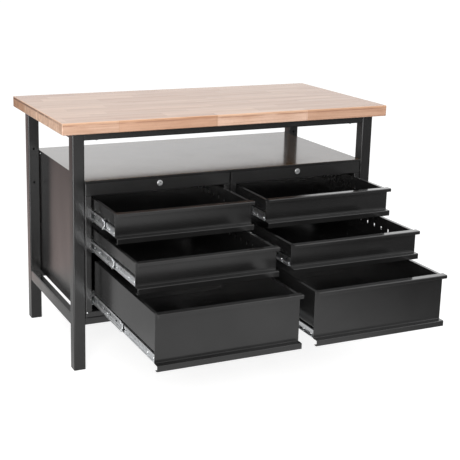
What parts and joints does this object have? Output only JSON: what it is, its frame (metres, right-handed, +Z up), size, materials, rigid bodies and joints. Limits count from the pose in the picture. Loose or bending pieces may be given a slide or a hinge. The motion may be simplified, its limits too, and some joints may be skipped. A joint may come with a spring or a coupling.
{
  "type": "workbench",
  "caption": "Workbench with a laminated beech top on a square-tube steel frame, an open shelf and two sheet-steel cabinets of lipped drawers on ball-bearing runners, with cam locks.",
  "frame": {"origin": "on the floor, under the middle of the space that the bench takes up with its drawers as they stand", "axes": "+X to the right along the bench, +Y from the drawers to the back, +Z up"},
  "size_m": [1.2, 1.138, 0.84],
  "materials": {
    "beech": "satin lacquer",
    "black_paint": "semi-gloss powder coat",
    "zinc": "bright zinc plate",
    "chrome": "polished",
    "black_plastic": "matt"
  },
  "bodies": {
    "bench": {"worktop": "beech", "worktop_screws": "zinc", "leg_plugs": "black_plastic", "front_left_leg": "black_paint", "front_right_leg": "black_paint", "rear_left_leg": "black_paint", "rear_right_leg": "black_paint", "front_top_rail": "black_paint", "rear_top_rail": "black_paint", "left_top_rail": "black_paint", "right_top_rail": "black_paint", "front_lower_rail": "black_paint", "rear_lower_rail": "black_paint", "left_lower_rail": "black_paint", "right_lower_rail": "black_paint", "shelf": "black_paint", "cabinet_screws": "zinc", "runner_posts": "black_paint", "lock_housings": "chrome", "left_cabinet_outer_side": "black_paint", "left_cabinet_inner_side": "black_paint", "left_cabinet_back": "black_paint", "left_cabinet_floor": "black_paint", "left_cabinet_lock_rail": "black_paint", "left_outer_runners": "zinc", "right_cabinet_outer_side": "black_paint", "right_cabinet_inner_side": "black_paint", "right_cabinet_back": "black_paint", "right_cabinet_floor": "black_paint", "right_cabinet_lock_rail": "black_paint", "right_outer_runners": "zinc"},
    "left_top_drawer": {"left_top_tray": "black_paint", "left_top_front": "black_paint", "left_top_inner_runners": "zinc"},
    "left_top_carriage": {"left_top_middle_runners": "zinc"},
    "left_mid_drawer": {"left_mid_tray": "black_paint", "left_mid_front": "black_paint", "left_mid_inner_runners": "zinc"},
    "left_mid_carriage": {"left_mid_middle_runners": "zinc"},
    "left_bottom_drawer": {"left_bottom_tray": "black_paint", "left_bottom_front": "black_paint", "left_bottom_inner_runners": "zinc"},
    "left_bottom_carriage": {"left_bottom_middle_runners": "zinc"},
    "left_lock": {"left_lock_barrel": "chrome", "left_lock_cam": "zinc"},
    "right_top_drawer": {"right_top_tray": "black_paint", "right_top_front": "black_paint", "right_top_inner_runners": "zinc"},
    "right_top_carriage": {"right_top_middle_runners": "zinc"},
    "right_mid_drawer": {"right_mid_tray": "black_paint", "right_mid_front": "black_paint", "right_mid_inner_runners": "zinc"},
    "right_mid_carriage": {"right_mid_middle_runners": "zinc"},
    "right_bottom_drawer": {"right_bottom_tray": "black_paint", "right_bottom_front": "black_paint", "right_bottom_inner_runners": "zinc"},
    "right_bottom_carriage": {"right_bottom_middle_runners": "zinc"},
    "right_lock": {"right_lock_barrel": "chrome", "right_lock_cam": "zinc"}
  },
  "joints": [
    {"name": "left_top_drawer_slide", "type": "slide", "parent": "bench", "child": "left_top_drawer", "axis": [0, -1, 0], "range_m": [-0.21084, 0.33396]},
    {"name": "left_top_carriage_slide", "type": "slide", "parent": "bench", "child": "left_top_carriage", "axis": [0, -1, 0], "range_m": [-0.10542, 0.16698]},
    {"name": "left_mid_drawer_slide", "type": "slide", "parent": "bench", "child": "left_mid_drawer", "axis": [0, -1, 0], "range_m": [-0.38572, 0.15908]},
    {"name": "left_mid_carriage_slide", "type": "slide", "parent": "bench", "child": "left_mid_carriage", "axis": [0, -1, 0], "range_m": [-0.19286, 0.07954]},
    {"name": "left_bottom_drawer_slide", "type": "slide", "parent": "bench", "child": "left_bottom_drawer", "axis": [0, -1, 0], "range_m": [-0.54044, 0.00436]},
    {"name": "left_bottom_carriage_slide", "type": "slide", "parent": "bench", "child": "left_bottom_carriage", "axis": [0, -1, 0], "range_m": [-0.27022, 0.00218]},
    {"name": "left_lock_turn", "type": "hinge", "parent": "bench", "child": "left_lock", "pos_m": [-0.26, -0.00503, 0.6193], "axis": [0, 1, 0], "range_deg": [0, 90]},
    {"name": "right_top_drawer_slide", "type": "slide", "parent": "bench", "child": "right_top_drawer", "axis": [0, -1, 0], "range_m": [-0.21084, 0.33396]},
    {"name": "right_top_carriage_slide", "type": "slide", "parent": "bench", "child": "right_top_carriage", "axis": [0, -1, 0], "range_m": [-0.10542, 0.16698]},
    {"name": "right_mid_drawer_slide", "type": "slide", "parent": "bench", "child": "right_mid_drawer", "axis": [0, -1, 0], "range_m": [-0.38572, 0.15908]},
    {"name": "right_mid_carriage_slide", "type": "slide", "parent": "bench", "child": "right_mid_carriage", "axis": [0, -1, 0], "range_m": [-0.19286, 0.07954]},
    {"name": "right_bottom_drawer_slide", "type": "slide", "parent": "bench", "child": "right_bottom_drawer", "axis": [0, -1, 0], "range_m": [-0.54044, 0.00436]},
    {"name": "right_bottom_carriage_slide", "type": "slide", "parent": "bench", "child": "right_bottom_carriage", "axis": [0, -1, 0], "range_m": [-0.27022, 0.00218]},
    {"name": "right_lock_turn", "type": "hinge", "parent": "bench", "child": "right_lock", "pos_m": [0.26, -0.00503, 0.6193], "axis": [0, 1, 0], "range_deg": [0, 90]}
  ],
  "couplings": [
    {"joint": "left_top_carriage_slide", "follows": "left_top_drawer_slide", "ratio": 0.5},
    {"joint": "left_mid_carriage_slide", "follows": "left_mid_drawer_slide", "ratio": 0.5},
    {"joint": "left_bottom_carriage_slide", "follows": "left_bottom_drawer_slide", "ratio": 0.5},
    {"joint": "right_top_carriage_slide", "follows": "right_top_drawer_slide", "ratio": 0.5},
    {"joint": "right_mid_carriage_slide", "follows": "right_mid_drawer_slide", "ratio": 0.5},
    {"joint": "right_bottom_carriage_slide", "follows": "right_bottom_drawer_slide", "ratio": 0.5}
  ]
}
